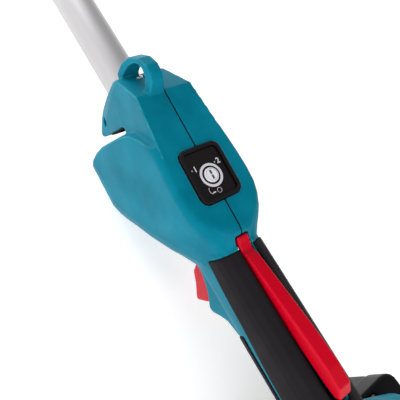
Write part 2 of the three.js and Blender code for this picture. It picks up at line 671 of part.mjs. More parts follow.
function addClamp() {
  const profile = [[0, 845], [19, 845], [22, 849], [22, 896], [19.5, 902], [18, 912], [0, 912]];
  const ears = prism('x', [[-10, -12], [10, -12], [10, -34], [7, -37], [-7, -37], [-10, -34]], 856, 888);
  const collar = join(turned('x', profile, [0, 0], 28), ears);
  const outerBore = rod('x', OUTER_POLE_R + GAP, 840, 905.4, [0, 0], 36);
  const innerBore = rod('x', INNER_POLE_R + 0.5, 904, 920, [0, 0], 36);
  const slit = box(840, 905.8, -1.2, 1.2, -40, -5);
  const boltHole = rod('y', CLAMP_BOLT_R + 0.4, -20, 20, CLAMP_PIN, 16);
  const nutSeat = rod('y', 4.8, 7.4, 20, CLAMP_PIN, 16);
  piece('clamp_collar', 'black', cut(collar, outerBore, innerBore, slit, boltHole, nutSeat));
  const shank = rod('y', CLAMP_BOLT_R, -15.5, 13.5, CLAMP_PIN, 16);
  piece('clamp_bolt', 'steel', join(shank, rod('y', 4.4, 7.8, 10.6, CLAMP_PIN, 6)));
  const lever = prism('y', CLAMP_LEVER_SIDE, -17, -10.4, 1.2);
  piece('clamp_lever', 'red', cut(lever, rod('y', CLAMP_BOLT_R + 0.3, -30, 0, CLAMP_PIN, 16)));
}

// ---------------------------------------------------------------- saw head

const HEAD_SIDE = [
  [1168, 17], [1168, -17], [1196, -24], [1206, -50], [1222, -62], [1300, -62], [1322, -48], [1330, -30],
  [1330, 4],
  [1318, 22], [1286, 36], [1228, 36], [1196, 22],
];

// Housing halves: the left one carries the motor, the right one the bar mount.
function headShell() {
  const body = join(
    prism('y', HEAD_SIDE, -20, 44, 4, 4, 1),
    prism('y', HOOK_FOOT, 0.4, 7.6, 1, 1, 1),
    rod('x', 19.5, 1150, 1206, [0, 0], 32, 1.5),
    rod('y', 33, 30, 66, AXLE, 28, 3),
  );
  const hollow = join(
    rod('y', MOTOR_BORE_R, -8, 61, AXLE, 28),
    prism('y', inset(HEAD_SIDE, 4), -16, 40).intersect(box(1216, 1330, -60, 60, -70, 40)),
  );
  const openings = join(
    rod('x', INNER_POLE_R + GAP, 1140, 1205.4, [0, 0], 36),
    rod('y', 8.5, -30, 0, AXLE, 24),
    box(1196, 1340, 16, 60, -80, -44),
    ...HOOK_SCREW_X.map((x) => rod('y', 2.15, -10, 4, [x, HOOK_SCREW_Z], 12)),
  );
  return cut(cut(body, hollow), openings);
}

const HEAD_SCREWS = [[1212, 20], [1310, 8], [1216, -36]];
const HEAD_PARTING_Y = 8;
const MOTOR_BORE_R = 29.6;

function addHead() {
  const posts = join(...HEAD_SCREWS.map((spot) => rod('y', 5, -19, 43.5, spot, 16)));
  const inside = posts.intersect(prism('y', inset(HEAD_SIDE, 1), -20, 44));
  const studBoss = rod('y', 9, -19, 2, BAR_STUD, 16);
  const shankHoles = HEAD_SCREWS.map((spot) => rod('y', SCREW_R + 0.25, -10, 60, spot, 12));
  const headSeats = HEAD_SCREWS.map((spot) => rod('y', 3.8, 27.4, 60, spot, 16));
  const studHole = rod('y', 3.2, -40, -3, BAR_STUD, 16);
  const motorBore = rod('y', MOTOR_BORE_R, -8, 61, AXLE, 28);
  const full = cut(join(headShell(), inside, studBoss), ...shankHoles, ...headSeats, studHole, motorBore);
  const seam = [HEAD_PARTING_Y - PARTING, HEAD_PARTING_Y + PARTING];
  piece('head_left', 'teal', full.intersect(box(1100, 1400, seam[1], 80, -100, 80)));
  piece('head_right', 'black', full.intersect(box(1100, 1400, -80, seam[0], -100, 80)));
  HEAD_SCREWS.forEach((spot, i) => {
    const screw = join(rod('y', 3.4, 27.7, 29.7, spot, 16), rod('y', SCREW_R, -9, 28, spot, 12));
    piece(`head_screw_${i + 1}`, 'dark_steel', cut(screw, rod('y', 1.6, 28.7, 31, spot, 6)));
  });
}

// Direct-drive motor: stator ring, rotor with shaft, two bearings.
const STATOR_SLOTS = 9;

function addMotor() {
  const slots = Array.from({ length: STATOR_SLOTS }, (_, k) => {
    const slot = box(-2.2, 2.2, 10, 48, 12, 24);
    return slot.rotate([0, (k * 360) / STATOR_SLOTS, 0]).translate([AXLE[0], 0, AXLE[1]]);
  });
  piece('motor_stator', 'copper', cut(tube('y', 29.2, 14.2, 18, 40, AXLE, 28), ...slots));
  const shaft = rod('y', 4, -36, 56, AXLE, 16);
  piece('motor_rotor', 'dark_steel', join(rod('y', 13.6, 17, 41, AXLE, 24, 0.8), shaft));
  piece('motor_bearing_inner', 'steel', tube('y', 11, 4.3, -7.6, -1, AXLE, 24));
  piece('motor_bearing_outer', 'steel', tube('y', 11, 4.3, 48, 55, AXLE, 24));
  const endPlate = rod('y', 29.2, 47, 60.6, AXLE, 28);
  piece('motor_end_plate', 'silver', cut(endPlate, rod('y', 11.3, 40, 57, AXLE, 24)));
}

// Half height of the bar and of the chain's inner edge along the bar: X, bar, chain.
const RAILS = [[1284, 17, 17.6], [1310, 22, 22.6], [1400, 23.5, 24.1], [1500, 20, 20.6]];
const CHAIN_DRIVE_R = 13;     // inner edge of the chain round the drive sprocket
const CHAIN_NOSE_R = 13.2;    // inner edge of the chain round the nose
const NOSE_POINTS = 8;

// Copies of a body turned about an axis along Y.
function around(count, centre, body) {
  return Array.from({ length: count }, (_, k) => (
    body.rotate([0, (k * 360) / count, 0]).translate([centre[0], 0, centre[1]])
  ));
}

// Drive sprocket, guide bar and nose sprocket.
function addCuttingSet() {
  const hub = rod('y', 10, BAR_Y - 3.4, BAR_Y + 3.4, AXLE, 24);
  const teeth = around(SPROCKET_TEETH, AXLE, box(-1.6, 1.6, BAR_Y - 3.4, BAR_Y + 3.4, 9, 12.4));
  piece('drive_sprocket', 'dark_steel', cut(join(hub, ...teeth), rod('y', 4.3, -60, 0, AXLE, 16)));

  const z = NOSE[1];
  const upper = [...RAILS.map(([x, half]) => [x, half]), [1548, 13], [1552, 6]];
  const below = upper.map(([x, half]) => [x, z - half]);
  const above = upper.map(([x, half]) => [x, z + half]).reverse();
  const outline = [...below, ...above];
  const sides = [BAR_Y - BAR_HALF, BAR_Y + BAR_HALF];
  const tipOutline = slotOutline(NOSE[0] - 6, NOSE[0], z, NOSE_R);
  const blank = join(prism('y', outline, ...sides), prism('y', tipOutline, ...sides));
  const studSlot = prism('y', slotOutline(1292, 1322, z, 4.6), -60, 0);
  const oilHole = rod('y', 2, -60, 0, [1300, z + 15], 12);
  const gap = [BAR_Y - 1.4, BAR_Y + 1.4];
  const rimSlot = tube('y', 30, NOSE_R - 2, ...gap, NOSE, 24).intersect(box(1530, 1600, -60, 0, -80, 60));
  piece('guide_bar', 'steel', cut(blank, studSlot, oilHole, rimSlot, rod('y', 11, ...gap, NOSE, 24)));
  const points = around(NOSE_POINTS, NOSE, box(-1.2, 1.2, BAR_Y - 1.1, BAR_Y + 1.1, 6, 10.6));
  piece('nose_sprocket', 'dark_steel', join(rod('y', 8, BAR_Y - 1.1, BAR_Y + 1.1, NOSE, 16), ...points));
}

// Points on a half circle in the plane of the bar, starting at an angle in radians.
function halfCircle([x, z], radius, start) {
  return Array.from({ length: 9 }, (_, k) => {
    const a = start + (Math.PI * k) / 8;
    return [x + radius * Math.cos(a), z + radius * Math.sin(a)];
  });
}

// Outline of the chain loop at an offset from its inner edge.
function chainOutline(offset) {
  const z = AXLE[1];
  return [
    ...halfCircle(AXLE, CHAIN_DRIVE_R + offset, Math.PI / 2),
    ...RAILS.map(([x, , half]) => [x, z - half - offset]),
    ...halfCircle(NOSE, CHAIN_NOSE_R + offset, -Math.PI / 2),
    ...[...RAILS].reverse().map(([x, , half]) => [x, z + half + offset]),
  ];
}

const CUTTER_SIDE = [[-5, -1], [5, -1], [4.6, 3.6], [-0.5, 3.2], [-1.5, 0.8], [-4, 0.8], [-5, 2.6]];

// The chain as one loop with cutters standing out on alternate sides.
function addChain() {
  const inner = prism('y', chainOutline(0.4), BAR_Y - 5, BAR_Y + 5);
  const loop = cut(prism('y', chainOutline(4), BAR_Y - 2.2, BAR_Y + 2.2), inner);
  const path = chainOutline(2).map(([x, z]) => new THREE.Vector2(x, z));
  path.push(path[0].clone());
  const lengths = path.slice(1).map((p, i) => p.distanceTo(path[i]));
  const pitch = lengths.reduce((a, b) => a + b, 0) / CUTTERS;
  const cutters = Array.from({ length: CUTTERS }, (_, k) => {
    let along = k * pitch;
    let i = 0;
    while (along > lengths[i]) {
      along -= lengths[i];
      i += 1;
    }
    const spot = path[i].clone().lerp(path[i + 1], along / lengths[i]);
    const direction = path[i + 1].clone().sub(path[i]);
    const angle = THREE.MathUtils.radToDeg(Math.atan2(direction.y, direction.x));
    const sides = k % 2 ? [-0.6, 2.6] : [-2.6, 0.6];
    const tooth = prism('y', CUTTER_SIDE.map(([u, v]) => [-u, -v]), ...sides);
    return tooth.rotate([0, -angle, 0]).translate([spot.x, BAR_Y, spot.y]);
  });
  piece('saw_chain', 'dark_steel', join(loop, ...cutters));
}

// Cover over the drive end of the bar, with the stud and nut that clamp it.
const COVER_SIDE = [
  [1236, -47], [1300, -50], [1334, -47], [1334, 19], [1300, 23], [1240, 20], [1226, 4], [1226, -32],
];

function addCover() {
  const skin = prism('y', COVER_SIDE, -44, -20.4, 3, 3, 2);
  const hollow = prism('y', inset(COVER_SIDE, 3), -41, -10);
  const barSlot = box(1320, 1340, -37, -10, -44.5, 16.5);
  const boss = rod('y', 9, -43, -30, BAR_STUD, 24);
  const studHole = rod('y', 3.3, -60, 0, BAR_STUD, 16);
  const nutSeat = rod('y', 10.2, -60, -41.5, BAR_STUD, 24);
  const tensionerHole = rod('y', 3, -60, -35, [1322, 2], 16);
  const shell = join(cut(skin, hollow, barSlot), boss);
  piece('sprocket_cover', 'black', cut(shell, studHole, nutSeat, tensionerHole));
  piece('bar_stud', 'steel', rod('y', 3, -48, -4, BAR_STUD, 16));
  piece('bar_nut', 'steel', cut(prism('y', hexagon(...BAR_STUD, 8.2), -49, -41.8, 0.5), studHole));
}

// Oil tank under the head with its filler cap.
const TANK_SIDE = [[1210, -45], [1206, -52], [1222, -66], [1298, -66], [1316, -52], [1316, -45]];
const TANK_HOLLOW = [[1213, -48], [1211, -53], [1224, -63], [1296, -63], [1312, -52], [1312, -48]];

function addOilTank() {
  const tank = join(prism('y', TANK_SIDE, 16.4, 58, 4, 4, 2), rod('y', 10, 54, 60, FILLER, 24));
  const hollow = join(prism('y', TANK_HOLLOW, 20, 54), rod('y', 7, 50, 62, FILLER, 24));
  piece('oil_tank', 'tank', cut(tank, hollow));
  const grips = around(10, FILLER, box(-1.2, 1.2, 61.6, 68, 11.6, 14));
  const cap = join(rod('y', 12.4, 61, 68, FILLER, 32, 0.8), rod('y', 6.6, 54, 62, FILLER, 16));
  piece('oil_cap', 'black', cut(cap, ...grips));
}

// Steel branch hook below the head; its lowest edge rests on the ground.
const HOOK_SCREW_X = [1228, 1280];
const HOOK_SCREW_Z = -66.2;
const HOOK_FOOT = [[1220, -56], [1290, -56], [1290, -70], [1220, -70]];
const HOOK_SIDE = [
  [1214, -62.4], [1298, -62.4], [1313, -67], [1320, -77], [1314, GROUND_Z], [1250, GROUND_Z], [1245, -84.5],
  [1250, -81], [1301, -81], [1306, -76], [1301, -70], [1214, -70],
];

function addHook() {
  const holes = HOOK_SCREW_X.map((x) => rod('y', 2.4, -20, 40, [x, HOOK_SCREW_Z], 12));
  piece('branch_hook', 'dark_steel', cut(prism('y', HOOK_SIDE, -4, 0), ...holes));
  HOOK_SCREW_X.forEach((x, i) => {
    const shank = rod('y', 2, -5, 3.4, [x, HOOK_SCREW_Z], 12);
    piece(`hook_screw_${i + 1}`, 'steel', join(shank, rod('y', 3.4, -7, -4.3, [x, HOOK_SCREW_Z], 6)));
  });
}

// ---------------------------------------------------------------- assembly

addHousing();
addPanel();
addLockOffLever();
addTrigger();
addHandleInternals();
addGripPads();
addBatteryBase();
addBattery(1, 'left');
addBattery(-1, 'right');
addPoles();
addFrontGrip();
addClamp();
addHead();
addMotor();
addCuttingSet();
addChain();
addCover();
addOilTank();
addHook();

const limits = new THREE.Box3().setFromObject(saw);
const centre = limits.getCenter(new THREE.Vector3());
saw.children.forEach((mesh) => mesh.geometry.translate(-centre.x, -centre.y, -limits.min.z));

export default saw;
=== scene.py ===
"""Looks of a telescoping pole saw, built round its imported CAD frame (Blender 4.5, metres, +X to the bar)."""

import json
import math

import bmesh
import bpy
from mathutils import Matrix, Vector

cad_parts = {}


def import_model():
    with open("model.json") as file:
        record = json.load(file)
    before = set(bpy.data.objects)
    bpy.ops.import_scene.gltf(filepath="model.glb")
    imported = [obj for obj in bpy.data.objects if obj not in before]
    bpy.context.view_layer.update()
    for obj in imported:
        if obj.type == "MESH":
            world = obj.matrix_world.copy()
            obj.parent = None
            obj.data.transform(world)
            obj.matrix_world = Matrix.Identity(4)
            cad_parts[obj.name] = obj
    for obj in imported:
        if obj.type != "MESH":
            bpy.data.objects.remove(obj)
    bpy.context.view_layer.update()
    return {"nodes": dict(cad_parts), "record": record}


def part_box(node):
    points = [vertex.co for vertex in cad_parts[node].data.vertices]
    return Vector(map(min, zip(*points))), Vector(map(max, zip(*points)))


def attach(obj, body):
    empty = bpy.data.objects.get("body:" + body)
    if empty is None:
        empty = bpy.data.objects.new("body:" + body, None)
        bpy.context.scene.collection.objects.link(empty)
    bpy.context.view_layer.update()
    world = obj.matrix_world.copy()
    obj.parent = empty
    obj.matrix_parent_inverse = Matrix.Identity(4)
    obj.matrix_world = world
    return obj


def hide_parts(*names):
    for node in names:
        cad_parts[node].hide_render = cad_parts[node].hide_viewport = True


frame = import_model()
NODES = frame["nodes"]
MM = 0.001

# ------------------------------------------------------------------ places taken from the frame

POLE_LOW, POLE_HIGH = (Vector(c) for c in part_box("outer_pole"))
POLE_BACK = 58            # the outer tube starts this far behind the handle's front face
ORIGIN = Vector((POLE_LOW.x + POLE_BACK * MM, 0, (POLE_LOW.z + POLE_HIGH.z) / 2))
OUTER_POLE_R, OUTER_BORE_R = 15, 13.2
INNER_POLE_R, INNER_BORE_R = 12.6, 11
TUBE_STEPS = 96           # sides of a drawn tube
TOP_TILT = math.atan(0.09)      # rise of the handle's top face going forward
PANEL = (-98, 38.45)      # X and Z of the control panel's centre
BUTTON_X = -100
LAMP_X = -92.6            # the speed lamps and their numbers
AXLE = (1262, -14)        # sprocket axis, X and Z
NOSE = (1546, -14)        # nose sprocket axis, X and Z
BAR_Y = -27               # the bar's middle plane


def at(x, y, z):
    """A point in millimetres from the pole axis at the handle's front face."""
    return ORIGIN + Vector((x, y, z)) * MM


def top_frame():
    """Matrix of the tilted top face: local millimetres to the row frame."""
    tilt = Matrix.Rotation(-TOP_TILT, 4, "Y")
    place = Matrix.Translation(at(PANEL[0], 0, PANEL[1]))
    return place @ tilt @ Matrix.Translation(Vector((-PANEL[0] * MM, 0, 0)))


# ------------------------------------------------------------------ materials

def node_tree(name):
    """A new material with its nodes and links."""
    made = bpy.data.materials.new(name)
    made.use_nodes = True
    return made, made.node_tree.nodes, made.node_tree.links


def noise(nodes, links, coords, scale, detail=4.0, stretch=None):
    """Noise pattern in object space; a stretch scales its coordinates along each axis."""
    tex = nodes.new("ShaderNodeTexNoise")
    tex.inputs["Scale"].default_value = scale
    tex.inputs["Detail"].default_value = detail
    source = coords.outputs["Object"]
    if stretch:
        mapping = nodes.new("ShaderNodeMapping")
        mapping.inputs["Scale"].default_value = stretch
        links.new(source, mapping.inputs["Vector"])
        source = mapping.outputs["Vector"]
    links.new(source, tex.inputs["Vector"])
    return tex.outputs["Fac"]


def ranged(nodes, links, value, low, high, start=0.3, end=0.7):
    """Maps a value running from start to end onto low to high."""
    step = nodes.new("ShaderNodeMapRange")
    step.inputs["From Min"].default_value = start
    step.inputs["From Max"].default_value = end
    step.inputs["To Min"].default_value = low
    step.inputs["To Max"].default_value = high
    links.new(value, step.inputs["Value"])
    return step.outputs["Result"]


def blended(nodes, links, factor, first, second):
    """Colour mixed between two values or sockets by a factor."""
    mix = nodes.new("ShaderNodeMix")
    mix.data_type = "RGBA"
    links.new(factor, mix.inputs["Factor"])
    for socket, value in ((mix.inputs["A"], first), (mix.inputs["B"], second)):
        if isinstance(value, tuple):
            socket.default_value = (*value, 1)
        else:
            links.new(value, socket)
    return mix.outputs["Result"]


def combined(nodes, links, operation, first, second):
    """Two values put together by a math operation."""
    step = nodes.new("ShaderNodeMath")
    step.operation = operation
    links.new(first, step.inputs[0])
    links.new(second, step.inputs[1])
    return step.outputs["Value"]


NORMAL_LEAVES = (0.9, 0.995)        # dot product of the two normals, from a clear edge to a flat
CURVATURE_RISES = (0.515, 0.56)     # pointiness, from a flat to a clear edge


def edge_mask(nodes, links, rounded):
    """1 along edges, 0 on flats: where curvature is raised or the bevelled normal leaves the true one."""
    geometry = nodes.new("ShaderNodeNewGeometry")
    dot = nodes.new("ShaderNodeVectorMath")
    dot.operation = "DOT_PRODUCT"
    links.new(rounded, dot.inputs[0])
    links.new(geometry.outputs["Normal"], dot.inputs[1])
    sharp = ranged(nodes, links, dot.outputs["Value"], 1.0, 0.0, *NORMAL_LEAVES)
    curved = ranged(nodes, links, geometry.outputs["Pointiness"], 0.0, 1.0, *CURVATURE_RISES)
    return combined(nodes, links, "MAXIMUM", sharp, curved)


def seam_distance(nodes, links, coords, start, end):
    """0 up to the start distance from the plane between the housing halves, 1 from the end distance on."""
    split = nodes.new("ShaderNodeSeparateXYZ")
    links.new(coords.outputs["Object"], split.inputs["Vector"])
    away = nodes.new("ShaderNodeMath")
    away.operation = "ABSOLUTE"
    links.new(split.outputs["Y"], away.inputs[0])
    return ranged(nodes, links, away.outputs["Value"], 0.0, 1.0, start * MM, end * MM)


SEAM_LINE = (0.25, 0.7)   # distances in millimetres over which the parting line fades out
SEAM_PLAIN_EDGES = (1.2, 2.2)  # and over which the edge wear and painted highlight come back beside it
EDGE_WEAR_AND_HIGHLIGHT_SCALE = 160.0        # of the pattern that breaks up the edge wear and painted highlight
SMUDGE_SCALE = 45.0       # of the uneven gloss, and how far it spreads round the roughness
SMUDGE = (-0.06, 0.08)
GRAIN_STRENGTH = 0.5


def finish(name, colour, second, rough, metallic=0.0, grain=900.0, depth=0.00004, edge=0.0006, edge_wear_and_highlight=None,
           stretch=None, patch=14.0, specular=0.5, tint=(1.0, 1.0, 1.0), coat=0.0, seam=None):
    """A procedural finish: two-tone colour, uneven gloss, fine surface grain, and edges that look rounded.

    The wear colour lightens edges and creases, partly as rubbed edges and partly as a painted highlight; seam
    is the colour of the parting line; depth and edge are in metres.
    """
    made, nodes, links = node_tree(name)
    shader = nodes["Principled BSDF"]
    coords = nodes.new("ShaderNodeTexCoord")
    patches = noise(nodes, links, coords, patch, 5.0, stretch)
    tone = blended(nodes, links, ranged(nodes, links, patches, 0.0, 1.0), colour, second)
    bevel = nodes.new("ShaderNodeBevel")
    bevel.samples = 4
    bevel.inputs["Radius"].default_value = edge
    # Edge wear and painted highlight: a lighter colour along edges and creases, broken up by noise.
    if edge_wear_and_highlight:
        mask = edge_mask(nodes, links, bevel.outputs["Normal"])
        breaks = ranged(nodes, links, noise(nodes, links, coords, EDGE_WEAR_AND_HIGHLIGHT_SCALE, 3.0), 0.25, 0.9)
        worn_and_highlit = combined(nodes, links, "MULTIPLY", mask, breaks)
        if seam:
            away = seam_distance(nodes, links, coords, *SEAM_PLAIN_EDGES)
            worn_and_highlit = combined(nodes, links, "MULTIPLY", worn_and_highlit, away)
        tone = blended(nodes, links, worn_and_highlit, tone, edge_wear_and_highlight)
    if seam:
        tone = blended(nodes, links, seam_distance(nodes, links, coords, *SEAM_LINE), seam, tone)
    links.new(tone, shader.inputs["Base Color"])
    shader.inputs["Metallic"].default_value = metallic
    shader.inputs["Specular IOR Level"].default_value = specular
    shader.inputs["Specular Tint"].default_value = (*tint, 1)
    shader.inputs["Coat Weight"].default_value = coat
    smudge = noise(nodes, links, coords, SMUDGE_SCALE, 6.0, stretch)
    gloss = ranged(nodes, links, smudge, rough + SMUDGE[0], rough + SMUDGE[1])
    links.new(gloss, shader.inputs["Roughness"])
    bump = nodes.new("ShaderNodeBump")
    bump.inputs["Strength"].default_value = GRAIN_STRENGTH
    bump.inputs["Distance"].default_value = depth
    links.new(noise(nodes, links, coords, grain, 2.0, stretch), bump.inputs["Height"])
    links.new(bevel.outputs["Normal"], bump.inputs["Normal"])
    links.new(bump.outputs["Normal"], shader.inputs["Normal"])
    return made


def clear_plastic(name, colour, rough):
    """Milky translucent plastic with faint flow marks."""
    made = finish(name, colour, tuple(c * 0.9 for c in colour), rough, grain=300.0, depth=0.00003)
    shader = made.node_tree.nodes["Principled BSDF"]
    shader.inputs["Transmission Weight"].default_value = 0.35
    shader.inputs["Subsurface Weight"].default_value = 0.3
    shader.inputs["Subsurface Scale"].default_value = 0.004
    return made


def printed(name, colour):
    """Screen-printed ink: slightly uneven and faintly raised."""
    return finish(name, colour, tuple(c * 0.86 for c in colour), 0.42, grain=2600.0, depth=0.00001,
                  edge=0.00005)


# On the teal, the lighter edge colour is mostly a painted highlight along the creases, with some edge wear.
TEAL_LOOK = dict(colour=(0.0, 0.128, 0.190), second=(0.002, 0.186, 0.270), rough=0.40, grain=1500.0,
                 depth=0.00003, edge=0.0012, edge_wear_and_highlight=(0.06, 0.36, 0.44), specular=0.07, tint=(0.25, 0.85, 1.0),
                 patch=34.0)
TEAL = finish("teal_plastic", **TEAL_LOOK)
HOUSING = finish("teal_housing", seam=(0.0, 0.010, 0.016), **TEAL_LOOK)
# The black, red and steel finishes below also lighten their edges: edge wear together with a painted
# highlight.
BLACK = finish("black_plastic", (0.003, 0.003, 0.004), (0.006, 0.006, 0.007), 0.30, grain=1400.0,
               depth=0.00004, edge=0.0008, edge_wear_and_highlight=(0.02, 0.02, 0.022), specular=0.10)
RUBBER = finish("soft_rubber", (0.006, 0.005, 0.006), (0.010, 0.008, 0.010), 0.62, grain=2200.0,
                depth=0.00007, edge=0.001, specular=0.1)
FOAM = finish("foam_rubber", (0.012, 0.012, 0.013), (0.022, 0.022, 0.023), 0.9, grain=1100.0,
              depth=0.0004, edge=0.001, specular=0.2)
RED = finish("red_plastic", (0.50, 0.0, 0.012), (0.44, 0.0, 0.010), 0.36, grain=1700.0, depth=0.00002,
             edge=0.0012, edge_wear_and_highlight=(0.72, 0.02, 0.05), specular=0.2, tint=(1.0, 0.3, 0.35))
GLOSS = finish("gloss_black", (0.006, 0.004, 0.005), (0.010, 0.008, 0.010), 0.16, grain=500.0,
               depth=0.000004, edge=0.0004, specular=0.2)
WHITE = finish("white_plastic", (0.66, 0.66, 0.69), (0.60, 0.60, 0.64), 0.35, grain=1600.0, depth=0.00001,
               edge=0.0004)
ALUMINIUM = finish("anodised_aluminium", (0.46, 0.45, 0.46), (0.58, 0.57, 0.57), 0.36, metallic=0.8,
                   grain=900.0, depth=0.00003, edge=0.0004, stretch=(0.02, 1.0, 1.0))
STEEL = finish("bright_steel", (0.50, 0.50, 0.51), (0.58, 0.58, 0.59), 0.3, metallic=1.0, grain=700.0,
               depth=0.00003, edge=0.0004, stretch=(0.05, 1.0, 1.0), edge_wear_and_highlight=(0.75, 0.75, 0.76))
DARK_STEEL = finish("dark_steel", (0.085, 0.085, 0.09), (0.14, 0.135, 0.13), 0.4, metallic=0.9, grain=800.0,
                    depth=0.00006, edge=0.0005, edge_wear_and_highlight=(0.45, 0.45, 0.46))
COPPER = finish("copper_winding", (0.62, 0.24, 0.10), (0.48, 0.17, 0.07), 0.35, metallic=1.0, grain=2500.0,
                depth=0.0002, stretch=(1.0, 0.1, 1.0))
BRASS = finish("brass_contact", (0.60, 0.45, 0.17), (0.52, 0.38, 0.14), 0.3, metallic=1.0)
BOARD = finish("circuit_board", (0.01, 0.10, 0.045), (0.015, 0.14, 0.06), 0.4, grain=1800.0, depth=0.00005)
LENS = finish("green_lens", (0.30, 0.36, 0.32), (0.36, 0.42, 0.38), 0.2, coat=0.5)
TANK = clear_plastic("tank_plastic", (0.62, 0.58, 0.46), 0.35)
WHITE_INK = printed("white_ink", (0.56, 0.56, 0.60))
DARK_INK = printed("dark_ink", (0.05, 0.05, 0.06))
GREY_INK = printed("grey_ink", (0.30, 0.30, 0.32))

SLOT_FINISH = {
    "teal_plastic": TEAL, "black_plastic": BLACK, "soft_rubber": RUBBER, "foam_rubber": FOAM,
    "red_plastic": RED, "gloss_black": GLOSS, "white_plastic": WHITE, "anodised_aluminium": ALUMINIUM,
    "bright_steel": STEEL, "dark_steel": DARK_STEEL, "copper_winding": COPPER, "brass_contact": BRASS,
    "circuit_board": BOARD, "green_lens": LENS, "tank_plastic": TANK,
}

# ------------------------------------------------------------------ finishing the CAD nodes

# Moulded shells whose edges are softened as a whole: voxel size and smoothing passes.
SOFTENED = {
    "housing_left": (0.7, 3), "housing_right": (0.7, 3), "battery_base_cover": (1.2, 5),
    "battery_rail_plate": (1.2, 2), "head_left": (0.9, 4), "head_right": (0.9, 4),
    "grip_pad_left": (0.5, 3), "grip_pad_right": (0.5, 3), "grip_pad_finger": (0.5, 3),
    "lock_off_lever": (0.5, 5), "switch_trigger": (0.5, 5), "clamp_lever": (0.6, 3),
    "sprocket_cover": (0.8, 4), "oil_tank": (0.8, 4),
}
KEPT_SHARE = 0.35         # share of the remeshed faces that is kept

# Edge break in millimetres on pieces that keep their CAD mesh.
BEVELS = {
    "battery_left": 1.2, "battery_right": 1.2, "battery_latch_left": 0.6, "battery_latch_right": 0.6,
    "panel_frame": 0.5, "panel_plate": 0.2, "main_switch": 0.5, "controller": 0.5, "clamp_collar": 0.8,
    "motor_end_plate": 0.6, "guide_bar": 0.3, "bar_nut": 0.4, "oil_cap": 0.4, "branch_hook": 0.6,
}
BREAK_SEGMENTS = 2
SHARP_ANGLE = 35          # degrees: steeper edges are broken, and stay sharp in the shading


def soften(node, voxel, passes):
    """Remeshes a moulded piece and relaxes it, so that every edge and corner is rounded."""
    remesh = node.modifiers.new("even_mesh", "REMESH")
    remesh.mode = "VOXEL"
    remesh.voxel_size = voxel * MM
    smooth = node.modifiers.new("soft_edges", "SMOOTH")
    smooth.factor = 0.5
    smooth.iterations = passes
    reduce = node.modifiers.new("lighter_mesh", "DECIMATE")
    reduce.ratio = KEPT_SHARE
    for polygon in node.data.polygons:
        polygon.use_smooth = True
    remesh.use_smooth_shade = True


def bevel_edges(obj, width):
    """Breaks the sharp edges of a piece."""
    bevel = obj.modifiers.new("edge_break", "BEVEL")
    bevel.width = width * MM
    bevel.segments = BREAK_SEGMENTS
    bevel.limit_method = "ANGLE"
    bevel.angle_limit = math.radians(SHARP_ANGLE)
    bevel.harden_normals = False


def smooth_by_angle(obj, angle=SHARP_ANGLE):
    """Smooth shading that stays sharp at edges steeper than the angle."""
    mesh = obj.data
    for polygon in mesh.polygons:
        polygon.use_smooth = True
    made = bmesh.new()
    made.from_mesh(mesh)
    limit = math.radians(angle)
    sharp = [e.index for e in made.edges if len(e.link_faces) == 2 and e.calc_face_angle(0) > limit]
    made.free()
    attribute = mesh.attributes.get("sharp_edge")
    if attribute is None:
        attribute = mesh.attributes.new("sharp_edge", "BOOLEAN", "EDGE")
    for index in sharp:
        attribute.data[index].value = True


def finish_nodes():
    """Gives every CAD node its material and softened edges."""
    slots = {row["node"]: row["material_slot"] for row in frame["record"]["subparts"]}
    own = {"housing_left": HOUSING, "housing_right": HOUSING, "panel_frame": GLOSS}
    for name, node in NODES.items():
        node.data.materials.clear()
        node.data.materials.append(own.get(name, SLOT_FINISH[slots[name]]))
        if name in SOFTENED:
            soften(node, *SOFTENED[name])
        else:
            if name in BEVELS:
                bevel_edges(node, BEVELS[name])
            smooth_by_angle(node)


# ------------------------------------------------------------------ mesh tools for the added pieces

def new_object(name, made, material, body, smooth=SHARP_ANGLE):
    """Turns a built mesh into a piece that rides a body."""
    mesh = bpy.data.meshes.new(name)
    made.to_mesh(mesh)
    made.free()
    obj = bpy.data.objects.new(name, mesh)
    bpy.context.collection.objects.link(obj)
    mesh.materials.append(material)
    smooth_by_angle(obj, smooth)
    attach(obj, body)
    return obj


def joined(made, rings):
    """Adds the faces between each ring of vertices and the next."""
    for first, second in zip(rings, rings[1:]):
        count = len(first)
        for k in range(count):
            j = (k + 1) % count
            made.faces.new((first[k], first[j], second[j], second[k]))


def lathe(made, profile, steps):
    """Adds a ring turned about the pole's axis: a closed profile of (x, radius) in millimetres."""
    rings = []
    for x, radius in profile:
        ring = []
        for k in range(steps):
            a = 2 * math.pi * k / steps
            ring.append(made.verts.new(at(x, radius * math.cos(a), radius * math.sin(a))))
        rings.append(ring)
    joined(made, rings + rings[:1])
    bmesh.ops.recalc_face_normals(made, faces=made.faces[:])


def plate(made, outline, low, high, place):
    """Adds a flat plate: outline of (u, v) points, thickness along w, through a placing function."""
    bottom = [made.verts.new(place(u, v, low)) for u, v in outline]
    top = [made.verts.new(place(u, v, high)) for u, v in outline]
    made.faces.new(bottom[::-1])
    made.faces.new(top)
    joined(made, [bottom, top])


def arc(u, v, radius, start, end, steps):
    """Points along an arc in degrees."""
    return [(u + radius * math.cos(math.radians(start + (end - start) * k / steps)),
             v + radius * math.sin(math.radians(start + (end - start) * k / steps)))
            for k in range(steps + 1)]


def rectangle(left, right, bottom, top):
    """Outline of a rectangle."""
    return [(left, bottom), (right, bottom), (right, top), (left, top)]


def circle(u, v, radius, steps):
    """Outline of a circle."""
    return arc(u, v, radius, 0, 360, steps)[:-1]


def band(u, v, inner, outer, start, end, steps):
    """Outline of a flat ring sector."""
    return arc(u, v, outer, start, end, steps) + arc(u, v, inner, end, start, steps)


# ------------------------------------------------------------------ poles and front grip

def span(box):
    """Where a box starts and ends along the pole, in millimetres from the handle's front face."""
    return tuple((Vector(corner).x - ORIGIN.x) / MM for corner in box)


